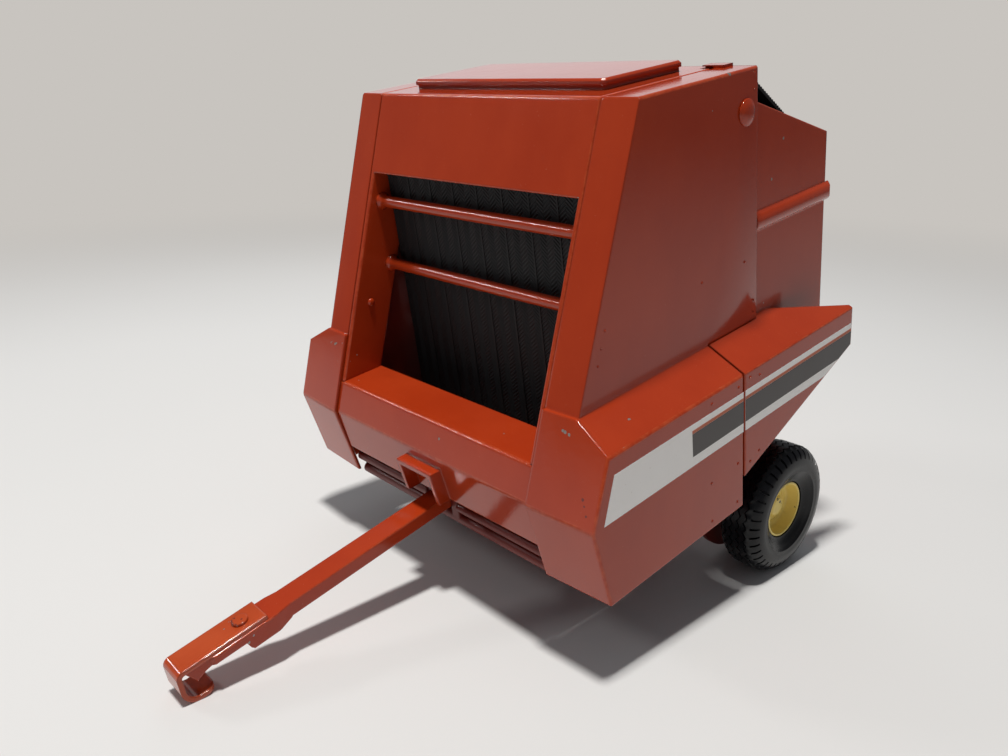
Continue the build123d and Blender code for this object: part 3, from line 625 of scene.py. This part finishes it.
# Pivot rivets: a shank through the side panel and the tailgate's ear, and outside the
# panel a big painted button, domed within a low rim.
BODY_HALF = 68.6
PIVOT = (-5.6, 147.4)
BUTTON = [
    (-4.3, 0.0), (-4.3, 1.9), (-0.1, 1.9), (-0.1, 4.1), (0.2, 4.33), (0.45, 4.3), (0.62, 4.05),
    (0.62, 3.75), (0.75, 3.5), (1.0, 3.05), (1.2, 2.4), (1.34, 1.4), (1.4, 0.0),
]
for hand, sign in (("right", 1), ("left", -1)):
    node = "pivot_rivet_" + hand
    outline = [(sign * (BODY_HALF + x), r) for x, r in BUTTON]
    lathe(node + "_head", outline, PIVOT, paint, "chassis", "casting_paint", node)

# Drawbar: a cast bar with a thick head, and the painted steel strip that is bent down
# into a hook and riveted on it. The rivet and the strip's edges are the most rubbed.
paint_rubbed = enamel("rubbed_enamel", rgb(182, 76, 38), rgb(166, 62, 26), worn=0.04)
casting("drawbar", paint, "chassis", "casting_paint", radius=0.5)
casting("hook", paint_rubbed, "chassis", "casting_paint", radius=0.35)
casting("hook_rivet", paint_rubbed, "chassis", "casting_paint", radius=0.35)

# Wheels: soft black rubber tyres with shoulder blocks and a fine zigzag tread, stretched
# over yellow moulded rims that turn on a steel wire.
tread = Finish("tyre_rubber", {"Specular IOR Level": 0.26})
bloom = tread.noise(70.0, 4.0, 0.6)
scuff = tread.noise(420.0, 3.0, 0.6).step(0.58, 0.72)
black = tread.mix(bloom, rgb(6, 6, 8), rgb(11, 11, 15))
tyre_rubber = tread.feed(
    Base_Color=tread.mix(scuff * 0.15, black, rgb(62, 62, 68)),
    Roughness=0.2 + bloom * 0.18 + scuff * 0.1,
    Normal=tread.bump(tread.noise(1800.0), depth=0.00003),
)
TYRE_MIDDLE = 76.2
BLOCKS = 40
BLOCK_TURN = 360 / BLOCKS
GROOVE = 0.6
SWAY = 0.7            # zigzag of the grooves along the crown
SLOT_DEEP = 1.1
# Half section from the middle outwards: x, radius, share of the sway, of the groove's
# depth and of the depth of the slots between the blocks
TYRE_SECTION = [
    (1.1, 25.0, 1, 0, 0), (1.25, 25.0, 1, 1, 0), (1.6, 25.0, 1, 1, 0), (1.75, 25.0, 1, 0, 0),
    (3.8, 24.95, 1, 0, 0), (3.95, 24.9, 1, 1, 0), (4.3, 24.8, 1, 1, 0), (4.45, 24.7, 1, 0, 0),
    (5.1, 24.45, 0.5, 0, 0), (5.7, 24.1, 0.2, 0, 0), (5.8, 24.0, 0, 0, 1), (6.6, 23.4, 0, 0, 1),
    (7.3, 22.7, 0, 0, 1), (7.8, 21.9, 0, 0, 1), (8.1, 21.1, 0, 0, 0.8), (8.2, 20.8, 0, 0, 0),
    (8.45, 19.8, 0, 0, 0), (8.6, 18.6, 0, 0, 0), (8.6, 17.6, 0, 0, 0), (8.45, 16.6, 0, 0, 0),
    (8.5, 16.3, 0, 0, 0), (8.45, 16.0, 0, 0, 0), (8.1, 15.6, 0, 0, 0), (7.6, 14.6, 0, 0, 0),
    (6.9, 13.4, 0, 0, 0), (6.1, 12.2, 0, 0, 0), (5.8, 11.25, 0, 0, 0),
]
# One block round the tyre: degrees, share of the slot
SLOT_TURNS = [(-1.1, 0), (-0.75, 1), (0.75, 1), (1.1, 0), (3.0, 0), (4.5, 0), (6.0, 0)]


def tyre(name, sign, node, body):
    """sign is 1 on the right and -1 on the left."""
    inner_half = [(-x, *shares) for x, *shares in TYRE_SECTION[::-1]]
    section = inner_half + TYRE_SECTION
    bm = bmesh.new()
    rings = []
    for block in range(BLOCKS):
        for degrees, in_slot in SLOT_TURNS:
            turn = math.radians(block * BLOCK_TURN + degrees)
            wave = abs(((degrees / BLOCK_TURN) % 1.0) - 0.5) * 4 - 1
            ring = []
            for x, r, sway, cut, slot in section:
                radius = r - GROOVE * cut - SLOT_DEEP * slot * in_slot
                across = sign * (TYRE_MIDDLE + x + SWAY * sway * wave)
                point = (across, radius * math.sin(turn), radius * math.cos(turn))
                ring.append(bm.verts.new(point))
            rings.append(ring)
    for i, ring in enumerate(rings):
        other = rings[(i + 1) % len(rings)]
        for j in range(len(section)):
            k = (j + 1) % len(section)
            bm.faces.new((ring[j], ring[k], other[k], other[j]))
    drawn(bm, name, tyre_rubber, body, "tyre_rubber", node, crease=28)


yellow = Finish(
    "yellow_rim", {"Specular IOR Level": 0.5, "Coat Weight": 0.15, "Coat Roughness": 0.2}
)
cloud = yellow.noise(120.0, 4.0, 0.6)
dirt = yellow.noise(260.0, 5.0, 0.65).step(0.55, 0.75)
nick = (yellow.noise(500.0, 2.0, 0.5) * 0.6 + yellow.noise(90.0) * 0.4).step(0.655, 0.665)
tone = yellow.mix(cloud, rgb(232, 204, 104), rgb(244, 220, 128))
tone = yellow.mix(dirt * 0.25, tone, rgb(150, 120, 60))
yellow_rim = yellow.feed(
    Base_Color=yellow.mix(nick, tone, rgb(64, 58, 50)),
    Roughness=0.34 + cloud * 0.2,
    Normal=yellow.bump(yellow.noise(1200.0), depth=0.00003),
)
# Half section from the blind hole for the axle, round the barrel, the flange and the
# dish, to the hub outside: x, radius
RIM_SECTION = [
    (78.75, 0.0), (78.75, 2.08), (68.6, 2.08), (68.6, 10.2), (69.0, 10.85), (81.4, 10.85),
    (81.75, 10.75), (81.9, 10.45), (81.9, 10.2), (81.7, 9.95), (81.1, 9.85), (79.4, 9.6),
    (77.5, 9.3), (77.0, 9.05), (76.75, 8.6), (76.75, 7.3), (76.6, 7.1), (76.35, 7.0),
    (76.35, 6.6), (76.6, 6.4), (76.85, 6.2), (76.9, 5.0), (77.0, 4.5), (77.6, 4.2),
    (78.4, 4.0), (78.9, 3.5), (79.1, 2.4), (79.2, 0.0),
]
AXLE_HALF = 78.6
AXLE_R = 2.0
AXLE_CHAMFER = 0.3
steel = Finish("axle_steel", {"Metallic": 1.0})
streak = steel.noise(300.0, 3.0, 0.6, steel.stretched(0.2, 1.0, 1.0))
axle_steel = steel.feed(
    Base_Color=steel.mix(streak, rgb(120, 116, 110), rgb(176, 172, 166)),
    Roughness=0.3 + streak * 0.25,
)
for hand, sign in (("right", 1), ("left", -1)):
    wheel = "wheel_" + hand
    tyre("tyre_tread_" + hand, sign, "tyre_" + hand, wheel)
    outline = [(sign * x, r) for x, r in RIM_SECTION]
    node = "rim_" + hand
    name = node + "_dish"
    lathe(name, outline, (0, 0), yellow_rim, wheel, "rim_plastic", node, sides=96, crease=35)
outline = rod(-AXLE_HALF, AXLE_HALF, AXLE_R, AXLE_CHAMFER)
lathe("axle_wire", outline, (0, 0), axle_steel, "chassis", "bare_steel", "axle")

# Stripes: printed foil along the shields, white with a grey band and an orange line,
# cut through where the shield parts from the tailgate.
foil = Finish("white_foil", {"Specular IOR Level": 0.5})
age = foil.noise(60.0, 4.0, 0.6)
mark = foil.noise(500.0, 4.0, 0.7).step(0.66, 0.75)
white = foil.mix(age, rgb(240, 236, 232), rgb(248, 245, 242))
white_foil = foil.feed(
    Base_Color=foil.mix(mark * 0.4, white, rgb(150, 120, 104)),
    Roughness=0.35 + age * 0.15,
)


def plain_foil(name, light, dark):
    made = Finish(name, {"Specular IOR Level": 0.5})
    wear = made.noise(90.0, 4.0, 0.6)
    rub = made.noise(650.0, 4.0, 0.7).step(0.66, 0.76)
    colour = made.mix(rub * 0.35, made.mix(wear, dark, light), rgb(150, 140, 130))
    return made.feed(Base_Color=colour, Roughness=0.36 + wear * 0.14)


grey_foil = plain_foil("grey_foil", rgb(74, 68, 66), rgb(58, 53, 52))
orange_foil = plain_foil("orange_foil", rgb(190, 96, 56), rgb(176, 84, 48))
SHIELD_HALF = 82.5
FOIL_THICK = 0.06
FOIL_SUNK = 0.02      # how deep the foil sits in the paint
SEAM_FRONT, SEAM_REAR = -28.3, -27.1
FOIL_REAR = 43.0
WING_FOOT = 29.05     # lower edge of the foil on the wing, at the seam
WING_SLOPE = 24.0 / 70.65
WHITE_LOW, WHITE_TOP = 46.6, 61.6
WHITE_FOOT, WHITE_HEAD = -99.2, -93.3
BAND_LOW, BAND_TOP = 50.0, 58.2
BAND_FRONT = -56.4
LINE_LOW, LINE_TOP = 58.3, 59.4


def front_strip(low, top, foot, head):
    """Corners (y, z). foot and head are where its lower and upper edges begin."""
    return [(foot, low), (SEAM_FRONT, low), (SEAM_FRONT, top), (head, top)]


def rear_strip(low, top):
    """Corners (y, z) on the wing, whose rising lower edge may cut one off."""
    wing_end = WING_FOOT + (FOIL_REAR - SEAM_REAR) * WING_SLOPE
    corner = [(FOIL_REAR, low)]
    if low < wing_end:
        corner = [(SEAM_REAR + (low - WING_FOOT) / WING_SLOPE, low), (FOIL_REAR, wing_end)]
    return [(SEAM_REAR, low), *corner, (FOIL_REAR, top), (SEAM_REAR, top)]


def foil_strip(name, points, sign, layer, material, body):
    """Thin plate of foil on a shield, on the bare paint or on the first layer of foil."""
    bm = bmesh.new()
    inner = SHIELD_HALF + (FOIL_THICK if layer else -FOIL_SUNK)
    outer = SHIELD_HALF + FOIL_THICK * (1 + layer)
    low = [bm.verts.new((sign * inner, y, z)) for y, z in points]
    top = [bm.verts.new((sign * outer, y, z)) for y, z in points]
    bm.faces.new(low)
    bm.faces.new(top)
    for i in range(len(points)):
        j = (i + 1) % len(points)
        bm.faces.new((low[i], low[j], top[j], top[i]))
    drawn(bm, name, material, body, None)


STRIPES = {
    "white": (0, white_foil, WHITE_LOW, WHITE_TOP, WHITE_FOOT, WHITE_HEAD),
    "band": (1, grey_foil, BAND_LOW, BAND_TOP, BAND_FRONT, BAND_FRONT),
    "line": (1, orange_foil, LINE_LOW, LINE_TOP, BAND_FRONT, BAND_FRONT),
}
for hand, sign in (("right", 1), ("left", -1)):
    for name, (layer, material, low, top, foot, head) in STRIPES.items():
        points = front_strip(low, top, foot, head)
        foil_strip(f"foil_{name}_front_{hand}", points, sign, layer, material, "chassis")
        points = rear_strip(low, top)
        foil_strip(f"foil_{name}_rear_{hand}", points, sign, layer, material, "tailgate")

# Small cast dots: ejector and rivet marks on the panels, and a domed rivet in each side
# wall of the opening. Face half width, y, z, radius, height and body of each.
DOTS = [
    (BODY_HALF, -30.7, 98.2, 0.5, 0.3, "chassis"),
    (BODY_HALF, -1.2, 82.8, 0.45, 0.25, "chassis"),
    (BODY_HALF, -1.2, 78.4, 0.45, 0.25, "chassis"),
    (BODY_HALF, -78.0, 98.1, 0.5, 0.3, "chassis"),
    (BODY_HALF, -80.1, 93.1, 0.45, 0.25, "chassis"),
    (BODY_HALF, -82.1, 88.2, 0.45, 0.25, "chassis"),
    (BODY_HALF, -6.6, 98.2, 0.5, 0.3, "chassis"),
    (BODY_HALF, -1.2, 158.8, 0.45, 0.25, "chassis"),
    (BODY_HALF, -1.3, 154.0, 0.45, 0.25, "chassis"),
    (SHIELD_HALF, -30.9, 64.4, 0.6, 0.3, "chassis"),
    (SHIELD_HALF, -45.8, 64.5, 0.6, 0.3, "chassis"),
    (SHIELD_HALF, -31.5, 35.7, 0.6, 0.3, "chassis"),
    (SHIELD_HALF, -46.6, 35.2, 0.6, 0.3, "chassis"),
    (SHIELD_HALF, -31.9, 20.4, 0.6, 0.3, "chassis"),
    (SHIELD_HALF, -46.6, 20.2, 0.6, 0.3, "chassis"),
    (SHIELD_HALF, -18.7, 64.2, 0.6, 0.3, "tailgate"),
    (SHIELD_HALF, -24.3, 65.4, 0.6, 0.3, "tailgate"),
    (SHIELD_HALF, -18.7, 34.9, 0.6, 0.3, "tailgate"),
    (SHIELD_HALF, -24.1, 33.0, 0.6, 0.3, "tailgate"),
]
# Shares of the height and of the radius
DOT_DOME = [(-0.15, 0.0), (-0.15, 1.0), (0.15, 0.97), (0.6, 0.75), (0.9, 0.4), (1.0, 0.0)]
for number, (half, y, z, radius, high, body) in enumerate(DOTS):
    for hand, sign in (("right", 1), ("left", -1)):
        outline = [(sign * (half + high * x), radius * r) for x, r in DOT_DOME]
        name = f"cast_dot_{number}_{hand}"
        lathe(name, outline, (y, z), paint, body, "casting_paint", sides=20, crease=60)
OPENING_HALF = 52.9
REVEAL = (-80.6, 85.1)
# Millimetres from the wall towards the middle, counted negative, and radius
REVEAL_DOME = [(0.2, 0.0), (0.2, 1.6), (-0.2, 1.55), (-0.6, 1.2), (-0.85, 0.6), (-0.9, 0.0)]
for hand, sign in (("right", 1), ("left", -1)):
    outline = [(sign * (OPENING_HALF + x), r) for x, r in REVEAL_DOME]
    name = "reveal_rivet_" + hand
    lathe(name, outline, REVEAL, paint, "chassis", "casting_paint", sides=32, crease=60)

# Studio: a pale floor that fades into a pale backdrop for the camera. A small lamp hangs
# almost overhead, a thin strip in front on the machine's left puts glints on the edges,
# and a soft lamp close behind on the left puts haze on the roof.
BACKDROP = rgb(200, 196, 191)
FLOOR_R = 6.0
FADE_FROM, FADE_TO = 0.35, 1.1
floor_finish = Finish("studio_floor", {"Roughness": 0.8, "Specular IOR Level": 0.2})
tint = floor_finish.noise(3.0, 3.0, 0.5)
floor_finish.feed(Base_Color=floor_finish.mix(tint, rgb(212, 212, 211), rgb(218, 218, 217)))
place = (floor_finish.place,)
distance = floor_finish.add("ShaderNodeVectorMath", {"operation": "LENGTH"}, place, "Value")
seen = floor_finish.add("ShaderNodeLightPath", {}, {}, "Is Camera Ray")
glow = floor_finish.add("ShaderNodeEmission", {}, {"Color": BACKDROP, "Strength": 1.0})
share = distance.step(FADE_FROM, FADE_TO) * seen
lit = Value(floor_finish, floor_finish.shader.outputs[0])
blend = floor_finish.add("ShaderNodeMixShader", {}, (share, lit, glow))
output = floor_finish.tree.nodes["Material Output"]
floor_finish.tree.links.new(blend.socket, output.inputs["Surface"])
bpy.ops.mesh.primitive_circle_add(vertices=96, radius=FLOOR_R, fill_type="NGON")
floor = bpy.context.object
floor.name = "floor"
floor.data.materials.append(floor_finish.material)

world = bpy.data.worlds.new("studio")
world.use_nodes = True
bpy.context.scene.world = world
nodes = world.node_tree.nodes
links = world.node_tree.links
ambient = nodes["Background"]
ambient.inputs["Color"].default_value = rgb(232, 234, 240)
ambient.inputs["Strength"].default_value = 0.18
backdrop = nodes.new("ShaderNodeBackground")
backdrop.inputs["Color"].default_value = BACKDROP
light_path = nodes.new("ShaderNodeLightPath")
either = nodes.new("ShaderNodeMixShader")
links.new(light_path.outputs["Is Camera Ray"], either.inputs[0])
links.new(ambient.outputs[0], either.inputs[1])
links.new(backdrop.outputs[0], either.inputs[2])
links.new(either.outputs[0], nodes["World Output"].inputs["Surface"])


def lamp(name, place, aim, size, power, colour, tall=0.0):
    """Round lamp of a size, or a strip where it is also given how tall it is."""
    data = bpy.data.lights.new(name, "AREA")
    data.shape = "RECTANGLE" if tall else "DISK"
    data.size = size
    if tall:
        data.size_y = tall
    data.energy = power
    data.color = colour
    made = bpy.data.objects.new(name, data)
    made.location = place
    made.rotation_mode = "QUATERNION"
    made.rotation_quaternion = (Vector(aim) - Vector(place)).to_track_quat("-Z", "Y")
    bpy.context.scene.collection.objects.link(made)


lamp(
    "main_light",
    place=(0.08, -0.24, 1.68),
    aim=(0.0, 0.0, 0.08),
    size=0.16,
    power=27.0,
    colour=(1.0, 0.98, 0.95),
)
lamp(
    "glint_light",
    place=(-1.2, -0.8, 0.84),
    aim=(0.0, 0.0, 0.13),
    size=0.4,
    power=3.0,
    colour=(1.0, 1.0, 1.0),
    tall=0.03,
)
lamp(
    "roof_light",
    place=(-0.45, 0.42, 0.5),
    aim=(0.0, 0.1, 0.18),
    size=0.64,
    power=0.62,
    colour=(0.98, 0.99, 1.0),
)

# Camera, in the photograph's place and with its angle of view, both fitted to it
# together with the pitch of the toy.
BACKWARDS = Vector((0.7019, -0.6359, 0.3209))
camera = bpy.data.objects.new("camera", bpy.data.cameras.new("camera"))
camera.data.sensor_width = 36.0
camera.data.lens = 31.07
camera.data.clip_start = 0.01
camera.location = (0.2306, -0.19565, 0.1785)
camera.rotation_mode = "QUATERNION"
camera.rotation_quaternion = BACKWARDS.to_track_quat("Z", "Y")
bpy.context.scene.collection.objects.link(camera)
bpy.context.scene.camera = camera
bpy.context.scene.view_settings.view_transform = "Standard"
